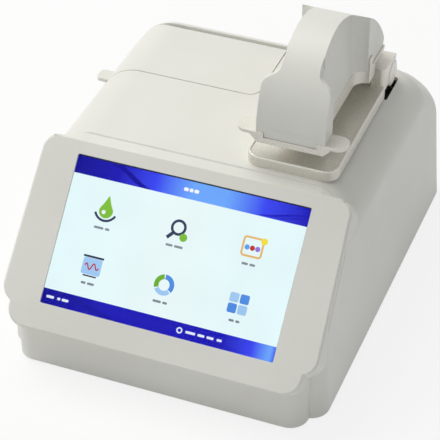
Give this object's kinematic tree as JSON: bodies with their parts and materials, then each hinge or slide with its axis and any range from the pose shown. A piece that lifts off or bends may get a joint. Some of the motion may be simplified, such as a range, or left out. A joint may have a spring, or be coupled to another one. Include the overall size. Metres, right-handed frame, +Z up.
{
  "type": "microvolume spectrophotometer",
  "caption": "Bench spectrophotometer: tilted touch display, hinged measuring arm over a sample deck, and a cuvette station under a lid.",
  "frame": {"origin": "middle of the base on the surface that the feet stand on", "axes": "+X to the right seen from the front, +Y towards the rear panel, +Z up"},
  "size_m": [0.208, 0.2792, 0.2033],
  "materials": {
    "housing_white": "fine moulded texture, warm off-white",
    "dark_plastic": "black moulded plastic",
    "glass": "clear polished cover glass",
    "panel_black": "display panel",
    "sheet_steel": "plain rolled sheet",
    "board_green": "laminate with solder mask",
    "base_grey": "powder coat, fine",
    "steel": "machined, bright",
    "rubber": "soft black rubber",
    "deck_grey": "warm grey metallic, satin",
    "bronze": "sintered bronze",
    "black_anodised": "black anodised, matte"
  },
  "bodies": {
    "base": {"main_cover": "housing_white", "front_bezel": "housing_white", "cuvette_bay": "dark_plastic", "display_glass": "glass", "lcd_panel": "panel_black", "display_bracket": "sheet_steel", "main_board": "board_green", "base_plate": "base_grey", "base_screws": "steel", "rubber_feet": "rubber", "sample_deck": "deck_grey", "lower_pedestal": "steel", "hinge_shaft": "steel", "hinge_caps": "deck_grey", "cuvette_block": "black_anodised", "lid_hinge_pins": "steel", "rear_panel": "base_grey", "power_inlet": "dark_plastic", "switch_frame": "dark_plastic", "data_sockets": "sheet_steel", "panel_screws": "steel", "spectrometer_housing": "black_anodised", "flash_lamp": "black_anodised", "power_board": "board_green", "receive_fibre": "dark_plastic", "lamp_fibre": "dark_plastic"},
    "arm": {"arm_frame": "deck_grey", "arm_hood": "housing_white", "hinge_bushes": "bronze", "pedestal_guide": "bronze", "motor_seat": "dark_plastic", "path_motor": "sheet_steel"},
    "pedestal": {"upper_pedestal": "steel"},
    "lid": {"cuvette_lid": "housing_white"},
    "rocker": {"power_rocker": "dark_plastic"}
  },
  "joints": [
    {"name": "arm_hinge", "type": "hinge", "parent": "base", "child": "arm", "pos_m": [0.0544, 0.07, 0.133], "axis": [-1, 0, 0], "range_deg": [0, 85]},
    {"name": "path_slide", "type": "slide", "parent": "arm", "child": "pedestal", "axis": [0, 0, -1], "range_m": [0, 0.00095]},
    {"name": "lid_hinge", "type": "hinge", "parent": "base", "child": "lid", "pos_m": [-0.02825, 0.081, 0.1208], "axis": [-1, 0, 0], "range_deg": [0, 85]},
    {"name": "power_switch", "type": "hinge", "parent": "base", "child": "rocker", "pos_m": [-0.03, 0.1342, 0.044], "axis": [-1, 0, 0], "range_deg": [0, 16]}
  ]
}
